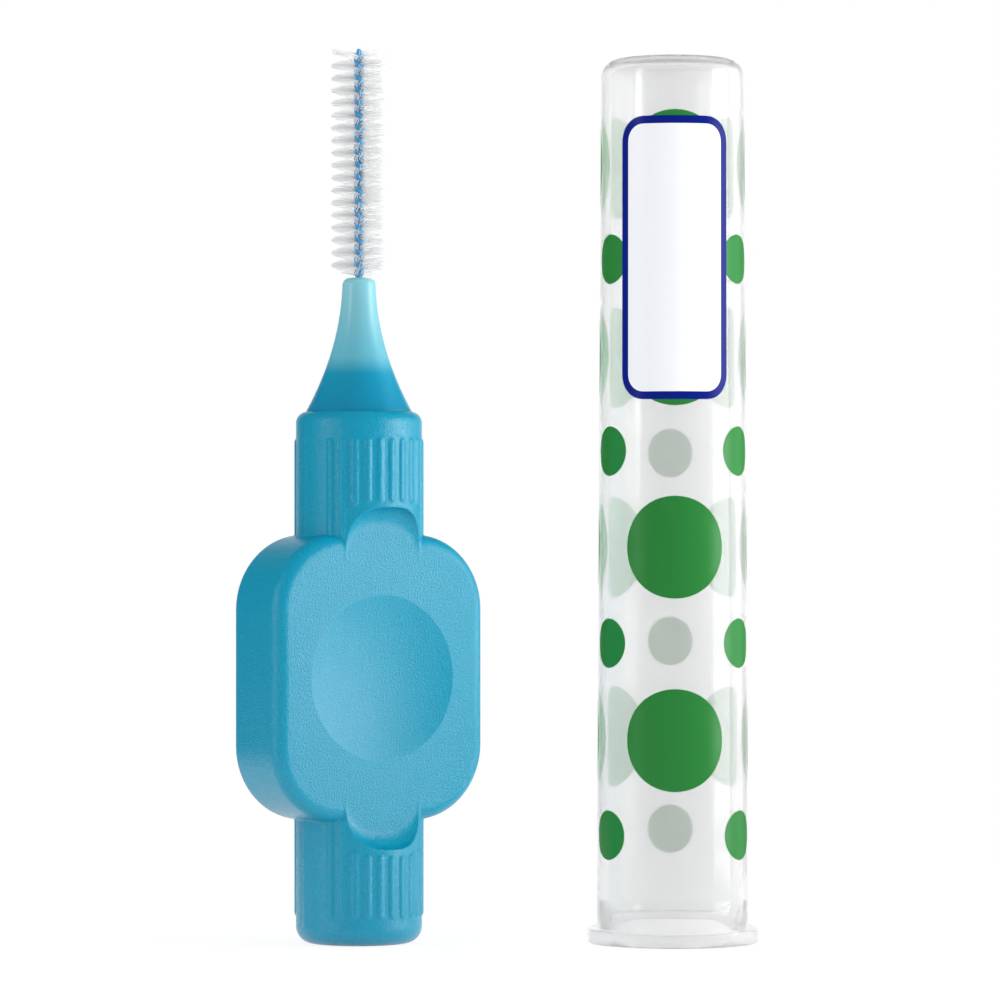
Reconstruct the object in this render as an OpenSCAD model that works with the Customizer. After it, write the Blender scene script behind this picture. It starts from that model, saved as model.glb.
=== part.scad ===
// Interdental brush with its push-on cap, taken off and stood beside it.
// Millimetres, +Z up. The brush stands on its lower collar at the origin,
// with the two broad faces of its grip pad towards -Y and +Y.

/* [Pad] */
// Width of the grip pad
pad_w = 15.8; // [14.5:0.1:18]
// Height of the grip pad
pad_h = 18.5; // [16:0.1:22]
// Thickness of the grip pad
pad_t = 5.9; // [5.2:0.1:6.5]
// Corner radius of the pad outline
pad_corner_r = 4.85; // [3.5:0.05:5.5]
// Rounding along the edges of the pad
pad_edge_r = 0.9; // [0.4:0.05:1.2]
// Radius of the shallow round dish in each face
dish_r = 5.35; // [4:0.05:5.8]
// Depth of that dish
dish_depth = 0.63; // [0.3:0.01:0.9]

/* [Collars] */
// Radius of the round collars above and below the pad
collar_r = 4.1; // [3.8:0.05:4.6]
// Height of the lower collar, from its foot to the pad
lower_collar_h = 8; // [7:0.05:11]
// Height of the upper collar, from the pad to its flat top
upper_collar_h = 8; // [7:0.05:11]
// Rounding around the foot
foot_edge_r = 1.1; // [0.6:0.05:1.4]
// Rounding around the top of the upper collar
top_edge_r = 0.75; // [0.5:0.05:1]
// How far the flat of the pad face runs on into a collar as a tongue
tongue_l = 0.55; // [0.3:0.05:0.9]
// Width of that tongue
tongue_w = 5.3; // [4.6:0.1:5.6]
// Rounding of the tongue's two corners, seen from the front
tongue_corner_r = 2.2; // [1:0.05:2.3]
// Radius of the cove that rises from the end of the tongue to the collar
cove_r = 1.2; // [0.8:0.05:1.4]
// Width of the fine raised parting line down both sides of each collar
parting_w = 0.36; // [0.2:0.01:0.5]
// Height of that line above the collar
parting_h = 0.04; // [0.02:0.01:0.08]
// Step from the flat top of the upper collar's side in to the foot of the neck
neck_shoulder = 0.65; // [0.5:0.05:0.9]

/* [Grip ribs] */
// Ribs on each half of a collar, front and back
rib_count = 11; // [7:2:11]
// Angle from one rib to the next
rib_pitch_deg = 11.6; // [10:0.1:13]
// Width of a rib where it leaves the collar
rib_w = 0.5; // [0.35:0.01:0.6]
// Height of a rib above the collar
rib_h = 0.1; // [0.06:0.01:0.14]
// Plain band between the ribs and the free end of a collar
rib_free_band = 1.75; // [1.5:0.05:2.5]
// Plain band between the ribs and the cove
rib_cove_band = 0.35; // [0.2:0.05:0.7]

/* [Flexible neck] */
// Height of the soft neck above the upper collar
neck_h = 8.7; // [7:0.1:11]
// Radius of the neck just under its tip
neck_tip_r = 1.08; // [0.8:0.01:1.3]
// Rounding around the tip of the neck
neck_tip_edge_r = 0.5; // [0.3:0.05:0.55]
// Radius of the plug that anchors the neck in the handle
anchor_r = 2.2; // [1.8:0.05:2.6]
// Depth of that plug
anchor_depth = 3; // [2:0.1:4]

/* [Core wire] */
// Radius of the coated wire
strand_r = 0.16; // [0.13:0.01:0.19]
// Height in which the two strands make one full turn
wire_pitch = 1.62; // [1.4:0.01:2]
// Wire that stands out of the neck
wire_free_l = 14.9; // [12:0.1:18]
// Wire held inside the neck
wire_embed = 4.5; // [3:0.1:6]
// Radial clearance of the wire in the neck
wire_clearance = 0.03; // [0.01:0.01:0.06]

/* [Bristles] */
// Radius of the brush over its bristle tips
bristle_r = 1.82; // [1.2:0.02:2.6]
// Bare wire between the neck and the lowest bristle
bristle_start = 0.23; // [0.1:0.01:0.6]
// Thickness of a bristle, and of the slice of them gripped by the wire
bristle_t = 0.03; // [0.02:0.005:0.04]
// Pairs of bristles up the brush
bristle_pairs = 200; // [150:10:250]

/* [Cap] */
// Height of the cap over its closed end
cap_h = 57.4; // [50:0.1:62]
// Wall of the cap
cap_wall = 0.62; // [0.45:0.01:0.8]
// Radius that the wall draws in by, from the mouth to the closed end
cap_draft = 0.28; // [0.1:0.02:0.5]
// Rounding around the closed end
cap_top_edge_r = 1.1; // [0.9:0.05:1.6]
// Width that the flange stands out from the wall
flange_w = 0.65; // [0.4:0.05:1]
// Thickness of the flange
flange_t = 1; // [0.8:0.05:1.4]
// Radial clearance between the cap and the ribs of the collar it is pushed on
cap_clearance = 0.1; // [0.02:0.01:0.15]
// Place where the cap stands, to the right of the brush
cap_stand_x = 17.3; // [15:0.1:24]
// Place where the cap stands, in front of the brush
cap_stand_y = -10.8; // [-20:0.1:-9]

/* [Hidden] */
$fn = 96;
// Overrun of a cut past the face it opens
cut_over = 1;
pad_bottom_z = lower_collar_h;
pad_top_z = pad_bottom_z + pad_h;
pad_mid_z = pad_bottom_z + pad_h / 2;
collar_top_z = pad_top_z + upper_collar_h;
neck_base_r = collar_r - neck_shoulder;
neck_top_z = collar_top_z + neck_h;
neck_steps = 24;
// A rib is the proud part of a round bar let into the collar
rib_bar_r = (rib_w * rib_w / 4 + rib_h * rib_h) / (2 * rib_h);
rib_bar_at = collar_r + rib_h - rib_bar_r;
parting_bar_r = (parting_w * parting_w / 4 + parting_h * parting_h) / (2 * parting_h);
parting_bar_at = collar_r + parting_h - parting_bar_r;
// The two strands lie against the slice of bristles between them
strand_at = strand_r + bristle_t / 2;
wire_r = strand_at + strand_r;
wire_bottom_z = neck_top_z - wire_embed;
wire_top_z = neck_top_z + wire_free_l;
wire_bend_z = wire_top_z - strand_at - strand_r;
wire_bore_r = wire_r + wire_clearance;
strand_sides = 8;
rings_per_turn = 9;
bend_rings = 6;
bristle_bottom_z = neck_top_z + bristle_start;
slice_w = 1.25 * strand_r;
cap_seat_r = collar_r + rib_h + cap_clearance;
cap_seat_h = upper_collar_h + cap_clearance;
cap_mouth_r = cap_seat_r + cap_wall;
cap_top_r = cap_mouth_r - cap_draft;
flange_r = cap_mouth_r + flange_w;
flange_edge_r = 0.35 * flange_t;
cap_inner_edge_r = cap_top_edge_r - cap_wall;
arc_steps = 8;

handle_blue = [0.22, 0.64, 0.75];
neck_blue = [0.45, 0.76, 0.83, 0.9];
wire_blue = [0.25, 0.56, 0.76];
bristle_white = [0.94, 0.95, 0.96];
cap_clear = [0.9, 0.94, 0.96, 0.4];

// Points of a circular arc from angle a to angle b
function arc_points(x, y, r, a, b) = [for (i = [0:arc_steps])
    let (t = a + (b - a) * i / arc_steps) [x + r * cos(t), y + r * sin(t)]];

// Rectangle with round corners, centred
module round_section(w, h, r) {
    square([w - 2 * r, h], center = true);
    square([w, h - 2 * r], center = true);
    for (sx = [-1, 1], sy = [-1, 1])
        translate([sx * (w / 2 - r), sy * (h / 2 - r)]) circle(r);
}

// Half of that section, for a disc with a round rim
module round_rim_section(radius, h, r) {
    translate([0, -h / 2]) square([radius - r, h]);
    translate([0, r - h / 2]) square([radius, h - 2 * r]);
    for (s = [-1, 1]) translate([radius - r, s * (h / 2 - r)]) circle(r);
}

// Grip pad: a plate with round corners and rounded edges, dished on both faces
module pad() {
    across = pad_w - 2 * pad_corner_r;
    along = pad_h - 2 * pad_corner_r;
    dish_ball_r = (dish_r * dish_r + dish_depth * dish_depth) / (2 * dish_depth);
    translate([0, 0, pad_mid_z]) difference() {
        union() {
            rotate([90, 0, 90]) linear_extrude(across, center = true)
                round_section(pad_t, pad_h, pad_edge_r);
            linear_extrude(along, center = true)
                round_section(pad_w, pad_t, pad_edge_r);
            for (sx = [-1, 1], sz = [-1, 1])
                translate([sx * across / 2, 0, sz * along / 2]) rotate([90, 0, 0])
                    rotate_extrude() round_rim_section(pad_corner_r, pad_t, pad_edge_r);
        }
        for (s = [-1, 1])
            translate([0, s * (pad_t / 2 + dish_ball_r - dish_depth), 0])
                sphere(dish_ball_r, $fn = 180);
    }
}

// Plain collar standing on z = 0 with its free end rounded, reaching `length` up
module collar(length, edge_r) {
    rotate_extrude() {
        square([collar_r - edge_r, length]);
        translate([0, edge_r]) square([collar_r, length - edge_r]);
        translate([collar_r - edge_r, edge_r]) circle(edge_r);
    }
}

// How far from the pad the cove meets the collar, at this angle from the middle of the face
function over_flat(angle) = collar_r * cos(angle) > pad_t / 2;
function cove_edge(angle) =
    let (up = cove_r - min(cove_r, collar_r * cos(angle) - pad_t / 2))
    tongue_l + sqrt(cove_r * cove_r - up * up);

// One grip rib, from the plain band at the free end to the cove or the pad
module rib(angle, length) {
    bar_end = rib_w / 2;
    inner_end = over_flat(angle)
        ? length - cove_edge(angle) - rib_cove_band - bar_end
        : length;
    start = rib_free_band + bar_end;
    rotate([0, 0, angle]) translate([0, -rib_bar_at, 0]) {
        translate([0, 0, start]) cylinder(h = inner_end - start, r = rib_bar_r, $fn = 24);
        for (end = [start, inner_end]) translate([0, 0, end]) sphere(rib_bar_r, $fn = 24);
    }
}

// Section of the cut: out to the side it ends in a cove, and it is open above
module cove_section(reach, deep) {
    square([reach - cove_r, deep]);
    translate([0, cove_r]) square([reach, deep - cove_r]);
    intersection() {
        translate([reach - cove_r, cove_r]) circle(cove_r);
        square([reach, deep]);
    }
}

// What the flat face of the pad takes off one side of a collar: a tongue with two round
// corners, and a cove from its end up to the collar
module cove_cut(length) {
    wide = 2 * collar_r + 2 * cut_over;
    deep = collar_r + cut_over;
    reach = tongue_corner_r + cove_r;
    corner_x = tongue_w / 2 - tongue_corner_r;
    translate([0, pad_t / 2, length - tongue_l + tongue_corner_r]) {
        translate([-wide / 2, 0, 0]) cube([wide, deep, pad_h]);
        rotate([0, 90, 0]) linear_extrude(2 * corner_x, center = true)
            cove_section(reach, deep);
        for (s = [-1, 1]) translate([s * corner_x, 0, 0]) rotate([-90, 0, 0])
            rotate_extrude() cove_section(reach, deep);
    }
}

// Raised line left where the two halves of the mould meet
module parting_line(length, edge_r) {
    end_r = parting_w / 2;
    translate([parting_bar_at, 0, edge_r + end_r]) {
        cylinder(h = length + pad_edge_r, r = parting_bar_r, $fn = 24);
        sphere(parting_bar_r, $fn = 24);
    }
}

// Ribbed collar with its free end at z = 0 and the pad at `length`
module ribbed_collar(length, edge_r) {
    root = tongue_corner_r + cove_r;
    difference() {
        collar(length + root, edge_r);
        for (side = [0, 180]) rotate([0, 0, side]) cove_cut(length);
    }
    for (side = [0, 180]) rotate([0, 0, side]) {
        parting_line(length, edge_r);
        for (i = [0:rib_count - 1])
            rib((i - (rib_count - 1) / 2) * rib_pitch_deg, length);
    }
}

// Moulded handle: pad, two ribbed collars, and the socket that holds the neck
module handle() {
    color(handle_blue) difference() {
        union() {
            pad();
            ribbed_collar(lower_collar_h, foot_edge_r);
            translate([0, 0, collar_top_z]) mirror([0, 0, 1])
                ribbed_collar(upper_collar_h, top_edge_r);
        }
        translate([0, 0, collar_top_z - anchor_depth])
            cylinder(h = anchor_depth + cut_over, r = anchor_r);
    }
}

// Radius of the neck at height h above the collar: it flares like a parabola
function neck_r_at(h) = neck_tip_r + (neck_base_r - neck_tip_r) * pow(1 - h / neck_h, 2);

// Soft neck: an anchor plug, the flare, a rounded tip, and a blind hole for the wire
module flexible_neck() {
    flare_h = neck_h - neck_tip_edge_r;
    flare = [for (i = [0:neck_steps]) let (h = flare_h * i / neck_steps) [neck_r_at(h), h]];
    tip_r = neck_r_at(flare_h);
    outline = concat([[0, -anchor_depth], [anchor_r, -anchor_depth], [anchor_r, 0]], flare,
        arc_points(tip_r - neck_tip_edge_r, flare_h, neck_tip_edge_r, 90 / arc_steps, 90),
        [[0, neck_h]]);
    color(neck_blue) difference() {
        translate([0, 0, collar_top_z]) rotate_extrude() polygon(outline);
        translate([0, 0, wire_bottom_z - wire_clearance])
            cylinder(h = wire_embed + cut_over, r = wire_bore_r, $fn = 48);
    }
}

// Turn of the wire at height z; it winds to the left going up
function turn_at(z) = -360 * (min(z, wire_bend_z) - wire_bottom_z) / wire_pitch;

// Centre line of one strand going up, then the fold at the tip, then the other going down.
// Each entry is a point and the direction that faces away from the middle of the twist.
wire_rings = ceil((wire_bend_z - wire_bottom_z) / wire_pitch * rings_per_turn);
function strand_point(i, half) =
    let (z = wire_bottom_z + (wire_bend_z - wire_bottom_z) * i / wire_rings,
         a = turn_at(z) + half, out = [cos(a), sin(a), 0])
    [[0, 0, z] + strand_at * out, out];
function fold_point(i) =
    let (a = turn_at(wire_bend_z), lift = 180 * i / bend_rings,
         out = cos(lift) * [cos(a), sin(a), 0] + sin(lift) * [0, 0, 1])
    [[0, 0, wire_bend_z] + strand_at * out, out];
wire_path = concat([for (i = [0:wire_rings]) strand_point(i, 0)],
    [for (i = [1:bend_rings - 1]) fold_point(i)],
    [for (i = [wire_rings:-1:0]) strand_point(i, 180)]);

// Coated wire folded at the tip and twisted on itself, as one swept tube
module core_wire() {
    last = len(wire_path) - 1;
    points = [for (i = [0:last])
        let (at = wire_path[i][0], out = wire_path[i][1],
             along = wire_path[min(i + 1, last)][0] - wire_path[max(i - 1, 0)][0],
             side = cross(along, out), across = side / norm(side))
        for (k = [0:strand_sides - 1])
            let (a = 360 * k / strand_sides)
                at + strand_r * (cos(a) * out + sin(a) * across)];
    skin = [for (i = [0:last - 1], k = [0:strand_sides - 1])
        let (a = i * strand_sides + k, b = i * strand_sides + (k + 1) % strand_sides,
             c = b + strand_sides, d = a + strand_sides)
        for (face = [[a, b, c], [a, c, d]]) face];
    first_end = [for (k = [strand_sides - 1:-1:0]) k];
    last_end = [for (k = [0:strand_sides - 1]) last * strand_sides + k];
    color(wire_blue) polyhedron(points, concat(skin, [first_end, last_end]), convexity = 10);
}

// Bristles: a thin twisted slice between the strands, from whose two edges every other
// step reaches out as a bristle. Each step of the slice has four corners, numbered
// round it, and each bristle adds four corners at its tip.
bristle_steps = 2 * bristle_pairs - 1;
bristle_top_z = wire_bend_z;
function step_z(i) = bristle_bottom_z
    + (bristle_top_z - bristle_bottom_z) * i / bristle_steps;
function corner(reach, half_t, angle, z) =
    [reach * cos(angle) - half_t * sin(angle), reach * sin(angle) + half_t * cos(angle), z];
function slice_corners(i) =
    let (z = step_z(i), a = turn_at(z) + 90, t = bristle_t / 2)
    [corner(slice_w, -t, a, z), corner(slice_w, t, a, z),
     corner(-slice_w, t, a, z), corner(-slice_w, -t, a, z)];
function tip_corners(i, s) =
    let (low = step_z(i), high = step_z(i + 1), a = turn_at((low + high) / 2) + 90,
         t = bristle_t / 2)
    [corner(s * bristle_r, -s * t, a, low), corner(s * bristle_r, s * t, a, low),
     corner(s * bristle_r, s * t, a, high), corner(s * bristle_r, -s * t, a, high)];

module bristles() {
    slice_points = [for (i = [0:bristle_steps]) for (p = slice_corners(i)) p];
    tip_points = [for (j = [0:bristle_pairs - 1], s = [1, -1])
        for (p = tip_corners(2 * j, s)) p];
    tips_at = len(slice_points);
    // The two broad sides of the slice
    broad = [for (i = [0:bristle_steps - 1], k = [1, 3])
        let (a = 4 * i + k, b = 4 * i + (k + 1) % 4, c = b + 4, d = a + 4)
        for (face = [[a, d, c], [a, c, b]]) face];
    // The narrow edges between bristles
    edges = [for (j = [0:bristle_pairs - 2], k = [0, 2])
        let (i = 2 * j + 1, a = 4 * i + k, b = a + 1, c = b + 4, d = a + 4)
        for (face = [[a, d, c], [a, c, b]]) face];
    // Each bristle: four sides from the edge of the slice to the tip, and the tip
    hairs = [for (j = [0:bristle_pairs - 1], h = [0, 1])
        let (base = 8 * j + 2 * h, root = [base, base + 1, base + 5, base + 4],
             tip = tips_at + 8 * j + 4 * h)
        for (face = concat(
            [for (k = [0:3]) let (n = (k + 1) % 4) [root[k], tip + k, root[n]]],
            [for (k = [0:3]) let (n = (k + 1) % 4) [tip + k, tip + n, root[n]]],
            [[tip, tip + 3, tip + 2], [tip, tip + 2, tip + 1]])) face];
    foot = [[0, 1, 2], [0, 2, 3]];
    t = 4 * bristle_steps;
    head = [[t, t + 2, t + 1], [t, t + 3, t + 2]];
    color(bristle_white)
        polyhedron(slice_points_and(tip_points, slice_points),
            concat(broad, edges, hairs, foot, head), convexity = 20);
}
function slice_points_and(tips, slice) = concat(slice, tips);

// Closed tube with a flanged mouth, standing on its mouth beside the brush
module cap() {
    wall_top_z = cap_h - cap_top_edge_r;
    outside = concat(
        [[cap_seat_r, 0]],
        arc_points(flange_r - flange_edge_r, flange_edge_r, flange_edge_r, -90, 0),
        arc_points(flange_r - flange_edge_r, flange_t - flange_edge_r, flange_edge_r, 0, 90),
        [[cap_mouth_r, flange_t]],
        arc_points(cap_top_r - cap_top_edge_r, wall_top_z, cap_top_edge_r, 0, 90),
        [[0, cap_h]]);
    inside = concat(
        [[0, cap_h - cap_wall]],
        arc_points(cap_top_r - cap_top_edge_r, wall_top_z, cap_inner_edge_r, 90, 0),
        [[cap_seat_r, cap_seat_h]]);
    color(cap_clear) translate([cap_stand_x, cap_stand_y, 0])
        rotate_extrude() polygon(concat(outside, inside));
}

handle();
flexible_neck();
core_wire();
bristles();
cap();
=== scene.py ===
import math
import random

import bpy
import numpy as np
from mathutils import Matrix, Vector


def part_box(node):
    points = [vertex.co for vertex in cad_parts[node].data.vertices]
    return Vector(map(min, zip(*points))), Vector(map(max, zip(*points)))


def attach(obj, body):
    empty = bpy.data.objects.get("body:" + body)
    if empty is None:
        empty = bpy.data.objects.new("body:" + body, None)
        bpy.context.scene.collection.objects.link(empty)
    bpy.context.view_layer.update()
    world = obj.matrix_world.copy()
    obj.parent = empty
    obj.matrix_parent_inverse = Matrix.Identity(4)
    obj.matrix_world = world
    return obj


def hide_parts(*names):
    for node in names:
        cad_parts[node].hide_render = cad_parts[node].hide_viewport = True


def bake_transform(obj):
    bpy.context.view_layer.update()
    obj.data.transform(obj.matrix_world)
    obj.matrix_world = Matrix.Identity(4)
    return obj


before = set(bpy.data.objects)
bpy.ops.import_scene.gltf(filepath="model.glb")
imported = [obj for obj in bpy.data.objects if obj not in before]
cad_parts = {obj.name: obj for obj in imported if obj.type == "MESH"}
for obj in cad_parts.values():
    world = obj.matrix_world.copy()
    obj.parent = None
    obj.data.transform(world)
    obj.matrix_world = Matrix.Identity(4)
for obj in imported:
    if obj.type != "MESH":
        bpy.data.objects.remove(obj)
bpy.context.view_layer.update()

MM = 0.001
UP = np.array((0, 0, 1.0))


def srgb(r, g, b):
    """A colour given as screen values from 0 to 255, as linear light."""
    def linear(c):
        c /= 255
        return c / 12.92 if c <= 0.04045 else ((c + 0.055) / 1.055) ** 2.4
    return (linear(r), linear(g), linear(b), 1.0)


def grey(share):
    return (share, share, share, 1)


# The photograph's view, in its own pixels
PICTURE = 1000
FOCAL_PX = 4850
VIEW_TURN = math.radians(33)
BRUSH_AXIS_X_PX = 359
FLOOR_Y_PX = 942.5
HORIZON_Y_PX = 545
MM_PER_PX = 0.065
VIEW_DISTANCE = FOCAL_PX * MM_PER_PX * MM
SENSOR_W = 36

# Light of the room on matt surfaces and in reflections, and how far round the white
# backdrop reaches
ROOM_LIGHT = 0.85
ROOM_TINT = (0.985, 0.99, 1.0, 1)
ROOM_REFLECTION = 0.05
BACKDROP_WHITE_DEG = 15
BACKDROP_EDGE_DEG = 34

# The floor's own grey, the white that is laid over it, and that white's share
FLOOR_SIZE = 0.16
FLOOR_GREY = 0.9
FLOOR_WHITE = 1.04
FLOOR_WHITE_SHARE = 0.85

# Where the lamps look, and how far from there they stand
LAMP_AIM = Vector((0.006, -0.004, 0.028))
LAMP_DISTANCE = 0.6

# Colours: a blue of the handle or the neck stands beside its place in a run of blues
HANDLE_BLUES = ((0.3, srgb(0, 138, 171)), (0.7, srgb(0, 154, 186)))
# The neck's run of blues grows paler towards its tip: painted light, standing in for light
# passing through the thin soft plastic.
NECK_BLUES_AND_PAINTED_LIGHT = ((0.0, srgb(8, 134, 170)), (0.28, srgb(8, 144, 176)),
              (0.4, srgb(96, 176, 194)), (1.0, srgb(136, 194, 204)))
WIRE_BLUE = srgb(70, 156, 208)
DOT_GREEN = srgb(47, 142, 64)
PANEL_WHITE = srgb(243, 244, 246)
LINE_NAVY = srgb(7, 27, 128)

# Handle, in metres like all the sizes below
PAD_T = 5.9 * MM
PAD_MID_Z = 17.25 * MM
DISH_R = 5.35 * MM
DISH_DEPTH = 0.63 * MM
DISH_BALL_R = (DISH_R ** 2 + DISH_DEPTH ** 2) / (2 * DISH_DEPTH)
DISH_REACH = 1.5 * DISH_DEPTH
COLLAR_TOP_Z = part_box("handle")[1][2]

# How the handle's edges are softened, and the share of its faces that is kept after that,
# most of them at its edges and ribs
HANDLE_WELD = 0.001 * MM
HANDLE_VOXEL = 0.055 * MM
HANDLE_SMOOTHINGS = 2
HANDLE_FACES_KEPT = 0.18

# Neck
NECK_TOP_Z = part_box("flexible_neck")[1][2]
NECK_H = NECK_TOP_Z - COLLAR_TOP_Z
NECK_BASE_R = 3.45 * MM
NECK_TIP_R = 1.08 * MM
NECK_TIP_EDGE_R = 0.5 * MM
NECK_TIP_LEAN_DEG = 9
NECK_FLARE_STEPS = 60
NECK_SUNK = 0.02 * MM
NECK_LONGEST_FACE = 0.3 * MM
NECK_SIDES = 72
ANCHOR_R = 2.2 * MM
ANCHOR_DEPTH = 3.0 * MM

# Wire: two strands that wind round each other, joined by a bend at the top
STRAND_R = 0.16 * MM
STRAND_AT = 0.175 * MM
STRAND_SIDES = 16
WIRE_PITCH = 1.62 * MM
WIRE_BOTTOM_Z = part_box("core_wire")[0][2]
WIRE_TOP_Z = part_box("core_wire")[1][2]
WIRE_BEND_Z = WIRE_TOP_Z - STRAND_AT - STRAND_R
WIRE_RINGS_PER_TURN = 28
WIRE_BEND_STEPS = 14

# Bristles
BRISTLE_R = 1.82 * MM
BRISTLE_T = 0.029 * MM
BRISTLE_SIDES = 5
BRISTLE_STEPS = 4
BRISTLE_BOTTOM_Z = NECK_TOP_Z + 0.23 * MM
BRISTLE_TOP_Z = WIRE_BEND_Z
BRISTLES_PER_TURN = 160
BRISTLE_SEED = 7

# Heights of a lobe's stem and tip, as shares of the half turn of wire that feeds it
LOBE_STEM_SHARE = 0.3
LOBE_TIP_SHARE = 1.8

# How much the bristles differ: their turn in radians, the rest in shares of their reach
TURN_SPREAD = 0.02
REACH_SPREAD = 0.012
SWAY_SPREAD = 0.012
LOBE_TIP_SPREAD = 0.02
HAZE_ROOT_SPREAD = 0.12
HAZE_TIP_SPREAD = 0.2

# The wire's last part of a turn, in which the bristles rise, how far the top ones do at
# most, and the least share of that
SPRAY_TURNS = 0.35
SPRAY_RISE = 0.2
SPRAY_LEAST = 0.2

# Cap
CAP_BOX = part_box("cap")
CAP_X = (CAP_BOX[0][0] + CAP_BOX[1][0]) / 2
CAP_Y = (CAP_BOX[0][1] + CAP_BOX[1][1]) / 2
CAP_H = CAP_BOX[1][2]
CAP_SEAT_R = 4.3 * MM
CAP_SEAT_H = 8.1 * MM
CAP_WALL = 0.62 * MM
CAP_TAPER = 0.28 * MM
CAP_MOUTH_R = CAP_SEAT_R + CAP_WALL
CAP_TOP_R = CAP_MOUTH_R - CAP_TAPER
CAP_TOP_EDGE_R = 1.1 * MM
CAP_TOP_EDGE_Z = CAP_H - CAP_TOP_EDGE_R
CAP_LONGEST_FACE = 2 * MM
CAP_SIDES = 128
FLANGE_R = (CAP_BOX[1][0] - CAP_BOX[0][0]) / 2
FLANGE_T = 1.0 * MM
FLANGE_EDGE_R = 0.2 * MM

# Print on the cap: dots all round it, and over them a panel that faces the camera
FACING = math.atan2(-math.cos(VIEW_TURN), -math.sin(VIEW_TURN))
INK_LIFT = 0.004 * MM
INK_T = 0.01 * MM
INK_EDGE_DEG = 40

DOT_R = 3.3 * MM
DOT_RINGS = 8
SMALL_DOT_R = 1.6 * MM
SMALL_DOT_RINGS = 5
DOT_SIDES = 48
DOT_COLUMNS = 3
DOT_ROWS = 4
DOT_PITCH = 12.4 * MM
FIRST_DOT_Z = 13.3 * MM

PANEL_LIFT = INK_LIFT + 2 * INK_T
PANEL_W = 7.4 * MM
PANEL_H = 18.2 * MM
PANEL_Z = 44.3 * MM
PANEL_CORNER_R = 1.6 * MM
PANEL_LINE = 0.5 * MM
PANEL_RINGS = 14
PANEL_LONGEST_FACE = 0.5 * MM


def link(obj):
    bpy.context.scene.collection.objects.link(obj)
    return obj


# Nodes

def set_inputs(node, values):
    for socket, value in values.items():
        node.inputs[socket].default_value = value


def new_material(name, values):
    """A material whose shader has the values given."""
    material = bpy.data.materials.new(name)
    material.use_nodes = True
    shader = material.node_tree.nodes["Principled BSDF"]
    set_inputs(shader, values)
    return material, material.node_tree, shader


def ray_is(tree, *kinds):
    """1 for rays of the kinds named, 0 for the others."""
    path = tree.nodes.new("ShaderNodeLightPath")
    seen = path.outputs[kinds[0]]
    for kind in kinds[1:]:
        either = tree.nodes.new("ShaderNodeMath")
        either.operation = "MAXIMUM"
        tree.links.new(seen, either.inputs[0])
        tree.links.new(path.outputs[kind], either.inputs[1])
        seen = either.outputs[0]
    return seen


def mix_shaders(tree, share, first, second):
    mix = tree.nodes.new("ShaderNodeMixShader")
    for socket, value in zip(mix.inputs, (share, first, second)):
        tree.links.new(value, socket)
    return mix.outputs[0]


def add_background(tree, strength, colour=grey(1)):
    background = tree.nodes.new("ShaderNodeBackground")
    set_inputs(background, {"Color": colour, "Strength": strength})
    return background.outputs[0]


def add_ramp(tree, value, stops):
    """A colour that runs through the stops as the value rises from 0 to 1."""
    ramp = tree.nodes.new("ShaderNodeValToRGB")
    elements = ramp.color_ramp.elements
    for at, colour in stops[1:-1]:
        elements.new(at).color = colour
    for element, (at, colour) in ((elements[0], stops[0]), (elements[-1], stops[-1])):
        element.position = at
        element.color = colour
    tree.links.new(value, ramp.inputs["Fac"])
    return ramp.outputs["Color"]


def add_grain(tree, shader, size, depth, detail=2.0):
    """Fine moulded grain, in the object's own space."""
    nodes, links = tree.nodes, tree.links
    place = nodes.new("ShaderNodeTexCoord")
    noise = nodes.new("ShaderNodeTexNoise")
    set_inputs(noise, {"Scale": 1 / size, "Detail": detail, "Roughness": 0.6})
    links.new(place.outputs["Object"], noise.inputs["Vector"])
    bump = nodes.new("ShaderNodeBump")
    set_inputs(bump, {"Strength": 1.0, "Distance": depth})
    links.new(noise.outputs["Fac"], bump.inputs["Height"])
    links.new(bump.outputs["Normal"], shader.inputs["Normal"])
    return noise


# Camera, stage and light

def view_direction():
    return Vector((math.sin(VIEW_TURN), math.cos(VIEW_TURN), 0))


def view_right():
    return Vector((math.cos(VIEW_TURN), -math.sin(VIEW_TURN), 0))


def make_camera():
    centre_px = PICTURE / 2
    data = bpy.data.cameras.new("camera")
    data.sensor_width = SENSOR_W
    data.lens = FOCAL_PX / PICTURE * data.sensor_width
    data.clip_start = 0.01
    data.clip_end = 10
    data.shift_y = (HORIZON_Y_PX - centre_px) / PICTURE
    camera = link(bpy.data.objects.new("camera", data))
    across = (centre_px - BRUSH_AXIS_X_PX) * MM_PER_PX * MM
    eye_z = (FLOOR_Y_PX - HORIZON_Y_PX) * MM_PER_PX * MM
    place = view_right() * across - view_direction() * VIEW_DISTANCE
    camera.location = (place.x, place.y, eye_z)
    camera.rotation_euler = (math.radians(90), 0, -VIEW_TURN)
    bpy.context.scene.camera = camera


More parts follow.
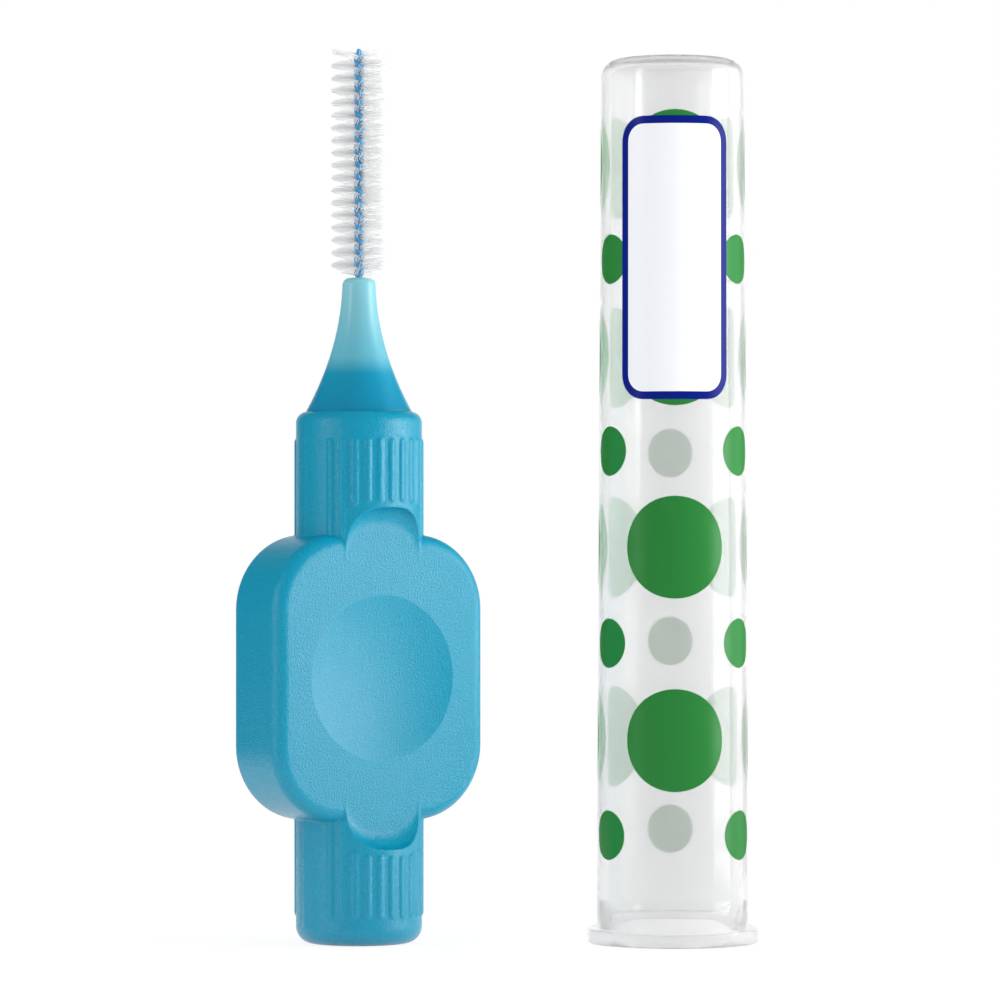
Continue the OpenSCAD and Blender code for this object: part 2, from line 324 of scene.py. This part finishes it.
def make_world():
    """A bright room for matt surfaces, which the camera sees white. Reflections see a white
    backdrop, which stands behind the object, and the dark rest of the room round it."""
    world = bpy.data.worlds.new("studio")
    world.use_nodes = True
    bpy.context.scene.world = world
    world.cycles.sampling_method = "NONE"
    tree = world.node_tree
    nodes, links = tree.nodes, tree.links
    nodes.remove(nodes["Background"])
    white = add_background(tree, 1.0)
    ray = nodes.new("ShaderNodeTexCoord")
    towards = nodes.new("ShaderNodeVectorMath")
    towards.operation = "DOT_PRODUCT"
    towards.inputs[1].default_value = view_direction()
    links.new(ray.outputs["Generated"], towards.inputs[0])
    backdrop = nodes.new("ShaderNodeMapRange")
    backdrop.interpolation_type = "SMOOTHSTEP"
    set_inputs(backdrop, {"From Min": math.cos(math.radians(BACKDROP_EDGE_DEG)),
                          "From Max": math.cos(math.radians(BACKDROP_WHITE_DEG))})
    links.new(towards.outputs["Value"], backdrop.inputs["Value"])
    dark = add_background(tree, ROOM_REFLECTION)
    reflected = mix_shaders(tree, backdrop.outputs["Result"], dark, white)
    room = add_background(tree, ROOM_LIGHT, ROOM_TINT)
    room = mix_shaders(tree, ray_is(tree, "Is Glossy Ray"), room, reflected)
    shown = mix_shaders(tree, ray_is(tree, "Is Camera Ray", "Is Transmission Ray"),
                        room, white)
    links.new(shown, nodes["World Output"].inputs["Surface"])


def make_floor():
    """A matt floor that shows almost white, with the last of its shadow left in."""
    bpy.ops.mesh.primitive_plane_add(size=FLOOR_SIZE, location=(0, 0, 0))
    floor = bpy.context.object
    floor.name = "floor"
    material, tree, shader = new_material("floor_white", {
        "Base Color": grey(FLOOR_GREY), "Roughness": 1.0, "Specular IOR Level": 0.0})
    material.cycles.emission_sampling = "NONE"
    white = tree.nodes.new("ShaderNodeEmission")
    set_inputs(white, {"Strength": FLOOR_WHITE})
    part = tree.nodes.new("ShaderNodeMath")
    part.operation = "MULTIPLY"
    part.inputs[1].default_value = FLOOR_WHITE_SHARE
    seen = ray_is(tree, "Is Camera Ray", "Is Glossy Ray", "Is Transmission Ray")
    tree.links.new(seen, part.inputs[0])
    shown = mix_shaders(tree, part.outputs[0], shader.outputs[0], white.outputs[0])
    tree.links.new(shown, tree.nodes["Material Output"].inputs["Surface"])
    floor.data.materials.append(material)


def add_softbox(name, turn_deg, height, width, tall, power):
    """A soft lamp, turned from the camera's side towards the camera's right, at a height
    over the point that it looks at."""
    turn = math.radians(turn_deg)
    towards = -view_direction() * math.cos(turn) + view_right() * math.sin(turn)
    data = bpy.data.lights.new(name, "AREA")
    data.shape = "RECTANGLE"
    data.size = width
    data.size_y = tall
    data.energy = power
    lamp = link(bpy.data.objects.new(name, data))
    lamp.location = LAMP_AIM + towards * LAMP_DISTANCE + Vector((0, 0, height))
    lamp.rotation_euler = (LAMP_AIM - lamp.location).to_track_quat("-Z", "Y").to_euler()


# Lines and meshes

def arc(x, y, r, first_deg, last_deg, steps=10):
    angles = [math.radians(first_deg + (last_deg - first_deg) * i / steps)
              for i in range(steps + 1)]
    return [(x + r * math.cos(a), y + r * math.sin(a)) for a in angles]


def circle(r, sides):
    angles = [2 * math.pi * k / sides for k in range(sides)]
    return [(r * math.cos(a), r * math.sin(a)) for a in angles]


def round_rectangle(width, height, corner):
    loop = []
    for sx, sy, first in ((1, 1, 0), (-1, 1, 90), (-1, -1, 180), (1, -1, 270)):
        loop += arc(sx * (width / 2 - corner), sy * (height / 2 - corner), corner,
                    first, first + 90, steps=8)
    return loop


def parts_needed(line, longest):
    """How many parts keep each stretch of a line no longer than `longest`."""
    return [max(1, math.ceil(math.hypot(x1 - x0, y1 - y0) / longest))
            for (x0, y0), (x1, y1) in zip(line, line[1:])]


def cut(line, parts):
    """The same line, each of its stretches cut into its own number of parts."""
    fine = [line[0]]
    for (x0, y0), (x1, y1), n in zip(line, line[1:], parts):
        fine += [(x0 + (x1 - x0) * k / n, y0 + (y1 - y0) * k / n)
                 for k in range(1, n + 1)]
    return fine


def refine(line, longest):
    return cut(line, parts_needed(line, longest))


def make_object(name, verts, faces, material):
    mesh = bpy.data.meshes.new(name)
    mesh.from_pydata([tuple(v) for v in verts], [], faces)
    mesh.validate()
    mesh.update()
    mesh.shade_smooth()
    mesh.materials.append(material)
    return link(bpy.data.objects.new(name, mesh))


def lathe(name, profile, material, sides, centre=(0, 0)):
    """Turns an outline round the upright axis through `centre`. An outline that starts off
    the axis is closed from its last point to its first."""
    verts, rows = [], []
    for r, z in profile:
        on_axis = r < 1e-9
        row = [(0, 0)] if on_axis else circle(r, sides)
        rows.append(list(range(len(verts), len(verts) + len(row))))
        verts += [(centre[0] + x, centre[1] + y, z) for x, y in row]
    if len(rows[0]) > 1:
        rows.append(rows[0])
    faces = []
    for low, high in zip(rows, rows[1:]):
        if len(low) == len(high) == 1:
            continue
        for k in range(sides):
            n = (k + 1) % sides
            if len(low) == 1:
                faces.append((low[0], high[n], high[k]))
            elif len(high) == 1:
                faces.append((low[k], low[n], high[0]))
            else:
                faces.append((low[k], low[n], high[n], high[k]))
    return make_object(name, verts, faces, material)


def sweep(path, outward, radius, sides, verts, faces):
    """Adds a closed tube along a path; `outward` gives each ring's first direction."""
    start = len(verts)
    path = np.array(path)
    outward = np.array(outward)
    along = np.gradient(path, axis=0)
    side = np.cross(along, outward)
    side /= np.linalg.norm(side, axis=1)[:, None]
    outward = np.cross(side, along)
    outward /= np.linalg.norm(outward, axis=1)[:, None]
    for point, first, second in zip(path, outward, side):
        verts += [point + x * first + y * second for x, y in circle(radius, sides)]
    last = start + (len(path) - 1) * sides
    for a in range(start, last, sides):
        for k in range(sides):
            n = (k + 1) % sides
            faces.append((a + k, a + n, a + sides + n, a + sides + k))
    faces.append(tuple(start + k for k in range(sides))[::-1])
    faces.append(tuple(last + k for k in range(sides)))


# Materials

def handle_material():
    material, tree, shader = new_material("handle_plastic", {
        "Roughness": 0.23, "Specular IOR Level": 0.5})
    noise = add_grain(tree, shader, size=0.11 * MM, depth=0.042 * MM)
    tint = add_ramp(tree, noise.outputs["Fac"], HANDLE_BLUES)
    tree.links.new(tint, shader.inputs["Base Color"])
    return material


def neck_material():
    """Deep blue where it is thick, over the collar, and paler towards its thin tip; the paler
    tip is painted light, standing in for light passing through the thin soft plastic.
    """
    material, tree, shader = new_material("soft_neck", {
        "Roughness": 0.3, "Specular IOR Level": 0.35,
        "Subsurface Weight": 0.6, "Subsurface Radius": (0.4, 0.9, 1.0),
        "Subsurface Scale": 1.2 * MM})
    nodes, links = tree.nodes, tree.links
    place = nodes.new("ShaderNodeTexCoord")
    split = nodes.new("ShaderNodeSeparateXYZ")
    links.new(place.outputs["Object"], split.inputs[0])
    height = nodes.new("ShaderNodeMapRange")
    set_inputs(height, {"From Min": COLLAR_TOP_Z, "From Max": NECK_TOP_Z})
    links.new(split.outputs["Z"], height.inputs["Value"])
    # Painted light: the base colour grows paler with height, standing in for light passing
    # through the thin tip.
    tint = add_ramp(tree, height.outputs["Result"], NECK_BLUES_AND_PAINTED_LIGHT)
    links.new(tint, shader.inputs["Base Color"])
    return material


def wire_material():
    material, tree, shader = new_material("coated_wire", {
        "Base Color": WIRE_BLUE, "Roughness": 0.28})
    add_grain(tree, shader, size=0.3 * MM, depth=0.002 * MM)
    return material


def bristle_material():
    material, tree, shader = new_material("nylon_bristles", {
        "Base Color": grey(0.98), "Roughness": 0.5,
        "Transmission Weight": 0.15, "IOR": 1.3})
    add_grain(tree, shader, size=0.4 * MM, depth=0.001 * MM)
    return material


def cap_material():
    material, tree, shader = new_material("clear_cap", {
        "Base Color": grey(0.86), "Roughness": 0.11, "Specular IOR Level": 0.3,
        "Transmission Weight": 0.8, "IOR": 1.28})
    add_grain(tree, shader, size=0.5 * MM, depth=0.0015 * MM, detail=1.0)
    return material


def ink_material(name, colour, clear=0):
    material, tree, shader = new_material(name, {
        "Base Color": colour, "Roughness": 0.3, "Specular IOR Level": 0.08,
        "Transmission Weight": clear})
    add_grain(tree, shader, size=0.25 * MM, depth=0.001 * MM, detail=1.0)
    return material


# The handle: the construction's own piece, its edges softened as a moulding's are

def shape_dishes(mesh):
    """Brings the two dishes of the pad back to true bowls."""
    for vertex in mesh.vertices:
        x, y, z = vertex.co
        out = math.hypot(x, z - PAD_MID_Z)
        if out < DISH_R and abs(y) > PAD_T / 2 - DISH_REACH:
            depth = math.sqrt(DISH_BALL_R ** 2 - out ** 2) - (DISH_BALL_R - DISH_DEPTH)
            vertex.co.y = math.copysign(PAD_T / 2 - depth, y)


def make_handle():
    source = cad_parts["handle"]
    handle = link(bpy.data.objects.new("handle_moulding", source.data.copy()))
    handle.data.materials.clear()
    handle.data.materials.append(handle_material())
    weld = handle.modifiers.new("weld", "WELD")
    weld.merge_threshold = HANDLE_WELD
    remesh = handle.modifiers.new("remesh", "REMESH")
    remesh.mode = "VOXEL"
    remesh.voxel_size = HANDLE_VOXEL
    soften = handle.modifiers.new("soften", "SMOOTH")
    soften.factor = 0.5
    soften.iterations = HANDLE_SMOOTHINGS
    thin = handle.modifiers.new("thin", "DECIMATE")
    thin.ratio = HANDLE_FACES_KEPT
    graph = bpy.context.evaluated_depsgraph_get()
    handle.data = bpy.data.meshes.new_from_object(handle.evaluated_get(graph))
    handle.modifiers.clear()
    shape_dishes(handle.data)
    handle.data.shade_smooth()
    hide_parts("handle")
    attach(handle, "handle")


# The brush head and its neck

def neck_radius(h):
    return NECK_TIP_R + (NECK_BASE_R - NECK_TIP_R) * (1 - h / NECK_H) ** 2


def make_neck():
    flare_h = NECK_H - NECK_TIP_EDGE_R
    heights = [flare_h * i / NECK_FLARE_STEPS for i in range(NECK_FLARE_STEPS + 1)]
    anchor = [(0, -ANCHOR_DEPTH), (ANCHOR_R, -ANCHOR_DEPTH), (ANCHOR_R, -NECK_SUNK),
              (NECK_BASE_R, -NECK_SUNK)]
    flare = [(neck_radius(h), h) for h in heights]
    tip = arc(neck_radius(flare_h) - NECK_TIP_EDGE_R, flare_h, NECK_TIP_EDGE_R,
              NECK_TIP_LEAN_DEG, 90)
    outline = [(r, COLLAR_TOP_Z + h) for r, h in anchor + flare + tip + [(0, NECK_H)]]
    neck = lathe("neck_soft_moulding", refine(outline, NECK_LONGEST_FACE),
                 neck_material(), NECK_SIDES)
    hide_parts("flexible_neck")
    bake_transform(neck)


def turn_at(z):
    """How far the wire has turned at height z; it winds to the left going up."""
    return -2 * math.pi * (min(z, WIRE_BEND_Z) - WIRE_BOTTOM_Z) / WIRE_PITCH


def heading(a):
    """The level direction at an angle from +X."""
    return np.array((math.cos(a), math.sin(a), 0))


def make_wire():
    """One strand up, the bend, and the other strand down."""
    wound_h = WIRE_BEND_Z - WIRE_BOTTOM_Z
    rings = math.ceil(wound_h / WIRE_PITCH * WIRE_RINGS_PER_TURN)
    heights = [WIRE_BOTTOM_Z + wound_h * i / rings for i in range(rings + 1)]
    steps = [(z, heading(turn_at(z))) for z in heights]
    for i in range(1, WIRE_BEND_STEPS):
        lift = math.pi * i / WIRE_BEND_STEPS
        out = math.cos(lift) * heading(turn_at(WIRE_BEND_Z)) + math.sin(lift) * UP
        steps.append((WIRE_BEND_Z, out))
    steps += [(z, heading(turn_at(z) + math.pi)) for z in reversed(heights)]
    path = [z * UP + STRAND_AT * out for z, out in steps]
    verts, faces = [], []
    sweep(path, [out for z, out in steps], STRAND_R, STRAND_SIDES, verts, faces)
    wire = make_object("twisted_wire", verts, faces, wire_material())
    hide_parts("core_wire")
    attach(wire, "brush_head")


def make_bristles():
    """Filaments gripped between the strands, each standing out on both sides of the wire.
    On the viewer's left each half turn of them gathers into a lobe with a thin stem, and
    on the right they stand in an even haze."""
    draw = random.Random(BRISTLE_SEED)
    turns = (BRISTLE_TOP_Z - BRISTLE_BOTTOM_Z) / WIRE_PITCH
    count = int(turns * BRISTLES_PER_TURN)
    left = -np.array(view_right())
    up = np.tile(UP, (BRISTLE_STEPS + 1, 1))
    verts, faces = [], []
    for i in range(count):
        z = BRISTLE_BOTTOM_Z + (BRISTLE_TOP_Z - BRISTLE_BOTTOM_Z) * (i + 0.5) / count
        turns_left = (BRISTLE_TOP_Z - z) / WIRE_PITCH
        spray = max(0, 1 - turns_left / SPRAY_TURNS)
        for half in (0, math.pi):
            out = heading(turn_at(z) + math.pi / 2 + half + draw.gauss(0, TURN_SPREAD))
            side = np.cross(UP, out)
            reach = BRISTLE_R * (1 - abs(draw.gauss(0, REACH_SPREAD)))
            sway = reach * draw.gauss(0, SWAY_SPREAD)
            lift = SPRAY_RISE * reach * spray * draw.uniform(SPRAY_LEAST, 1)
            if out @ left > 0:
                from_lobe = math.atan2(side @ left, out @ left) * WIRE_PITCH / (2 * math.pi)
                root = (LOBE_STEM_SHARE - 1) * from_lobe
                rise = ((LOBE_TIP_SHARE - LOBE_STEM_SHARE) * from_lobe
                        + reach * draw.gauss(0, LOBE_TIP_SPREAD))
            else:
                root = reach * draw.uniform(-HAZE_ROOT_SPREAD, HAZE_ROOT_SPREAD)
                rise = reach * draw.uniform(-HAZE_TIP_SPREAD, HAZE_TIP_SPREAD)
            path = []
            for k in range(BRISTLE_STEPS + 1):
                t = k / BRISTLE_STEPS
                path.append((z + root + (rise + lift) * t) * UP
                            + reach * t * out + sway * t ** 2 * side)
            sweep(path, up, BRISTLE_T / 2, BRISTLE_SIDES, verts, faces)
    bristles = make_object("nylon_filaments", verts, faces, bristle_material())
    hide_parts("bristles")
    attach(bristles, "brush_head")


# The cap and its print

def cap_outer_radius(z):
    share = (z - FLANGE_T) / (CAP_TOP_EDGE_Z - FLANGE_T)
    return CAP_MOUTH_R + (CAP_TOP_R - CAP_MOUTH_R) * share


def let_lamps_through(piece):
    """A thin clear wall and its print hold back almost none of the lamps' light."""
    piece.visible_shadow = False


def make_cap():
    flange_x = FLANGE_R - FLANGE_EDGE_R
    top_x = CAP_TOP_R - CAP_TOP_EDGE_R
    outside = ([(CAP_SEAT_R, 0)]
               + arc(flange_x, FLANGE_EDGE_R, FLANGE_EDGE_R, -90, 0)
               + arc(flange_x, FLANGE_T - FLANGE_EDGE_R, FLANGE_EDGE_R, 0, 90)
               + [(CAP_MOUTH_R, FLANGE_T)]
               + arc(top_x, CAP_TOP_EDGE_Z, CAP_TOP_EDGE_R, 0, 90)
               + [(0, CAP_H)])
    inside = ([(0, CAP_H - CAP_WALL)]
              + arc(top_x, CAP_TOP_EDGE_Z, CAP_TOP_EDGE_R - CAP_WALL, 90, 0)
              + [(CAP_SEAT_R, CAP_SEAT_H), (CAP_SEAT_R, 0)])
    wall = refine(outside + inside, CAP_LONGEST_FACE)[:-1]
    cap = lathe("cap_moulding", wall, cap_material(), CAP_SIDES, (CAP_X, CAP_Y))
    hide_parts("cap")
    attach(cap, "cap")
    let_lamps_through(cap)


def on_cap(across, z, turn, lift):
    """A point on the cap's outside: `across` is measured round it from `turn`."""
    r = cap_outer_radius(z) + lift
    a = turn + across / cap_outer_radius(z)
    return (CAP_X + r * math.cos(a), CAP_Y + r * math.sin(a), z)


def ink_patch(loop, turn, centre_z, rings, base_lift, verts, faces):
    """Fills a loop drawn round its own centre with a thin closed skin on the cap."""
    count = len(loop)
    rims = []
    for lift in (base_lift, base_lift + INK_T):
        start = len(verts)
        verts.append(on_cap(0, centre_z, turn, lift))
        for j in range(1, rings + 1):
            share = j / rings
            verts += [on_cap(across * share, centre_z + up * share, turn, lift)
                      for across, up in loop]
        for k in range(count):
            n = (k + 1) % count
            skin = [(start, start + 1 + k, start + 1 + n)]
            for j in range(rings - 1):
                a = start + 1 + j * count
                skin.append((a + k, a + count + k, a + count + n, a + n))
            if lift == base_lift:
                skin = [face[::-1] for face in skin]
            faces.extend(skin)
        rims.append(start + 1 + (rings - 1) * count)
    low, high = rims
    for k in range(count):
        n = (k + 1) % count
        faces.append((low + k, low + n, high + n, high + k))


def make_dots():
    """Green dots: a large one of each row towards the camera, small ones between the rows."""
    verts, faces = [], []
    for row in range(DOT_ROWS):
        z = FIRST_DOT_Z + row * DOT_PITCH
        for column in range(DOT_COLUMNS):
            turn = FACING + 2 * math.pi * column / DOT_COLUMNS
            ink_patch(circle(DOT_R, DOT_SIDES), turn, z, DOT_RINGS, INK_LIFT, verts, faces)
            ink_patch(circle(SMALL_DOT_R, DOT_SIDES), turn + math.pi / DOT_COLUMNS,
                      z - DOT_PITCH / 2, SMALL_DOT_RINGS, INK_LIFT, verts, faces)
    return make_object("print_green_dots", verts, faces,
                       ink_material("green_ink", DOT_GREEN, clear=0.3))


def make_panel(inner):
    """A bare white panel."""
    verts, faces = [], []
    loop = refine(inner + inner[:1], PANEL_LONGEST_FACE)[:-1]
    ink_patch(loop, FACING, PANEL_Z, PANEL_RINGS, PANEL_LIFT, verts, faces)
    return make_object("print_white_panel", verts, faces,
                       ink_material("white_ink", PANEL_WHITE))


def make_panel_line(outer, inner):
    """A dark blue line round the panel, between two loops with the same number of points."""
    parts = parts_needed(outer + outer[:1], PANEL_LONGEST_FACE)
    loops = [cut(loop + loop[:1], parts)[:-1] for loop in (outer, inner)]
    verts = [on_cap(x, PANEL_Z + y, FACING, lift)
             for lift in (PANEL_LIFT, PANEL_LIFT + INK_T) for loop in loops for x, y in loop]
    count = len(loops[0])
    lo, li, ho, hi = (i * count for i in range(4))
    faces = []
    for k in range(count):
        n = (k + 1) % count
        faces += [(ho + k, ho + n, hi + n, hi + k), (lo + n, lo + k, li + k, li + n),
                  (lo + k, lo + n, ho + n, ho + k), (hi + k, hi + n, li + n, li + k)]
    return make_object("print_panel_line", verts, faces, ink_material("navy_ink", LINE_NAVY))


def make_print():
    outer = round_rectangle(PANEL_W, PANEL_H, PANEL_CORNER_R)
    inner = round_rectangle(PANEL_W - 2 * PANEL_LINE, PANEL_H - 2 * PANEL_LINE,
                            PANEL_CORNER_R - PANEL_LINE)
    for piece in (make_dots(), make_panel(inner), make_panel_line(outer, inner)):
        piece.data.set_sharp_from_angle(angle=math.radians(INK_EDGE_DEG))
        let_lamps_through(piece)
        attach(piece, "cap")


make_camera()
make_world()
make_floor()
add_softbox("key", turn_deg=81, height=0.03, width=0.34, tall=0.44, power=3.1)
add_softbox("side", turn_deg=117, height=0.03, width=0.34, tall=0.44, power=0.5)
add_softbox("window", turn_deg=-58, height=0.12, width=0.1, tall=0.2, power=0.6)
make_handle()
make_neck()
make_wire()
make_bristles()
make_cap()
make_print()

bpy.context.scene.view_settings.view_transform = "Standard"
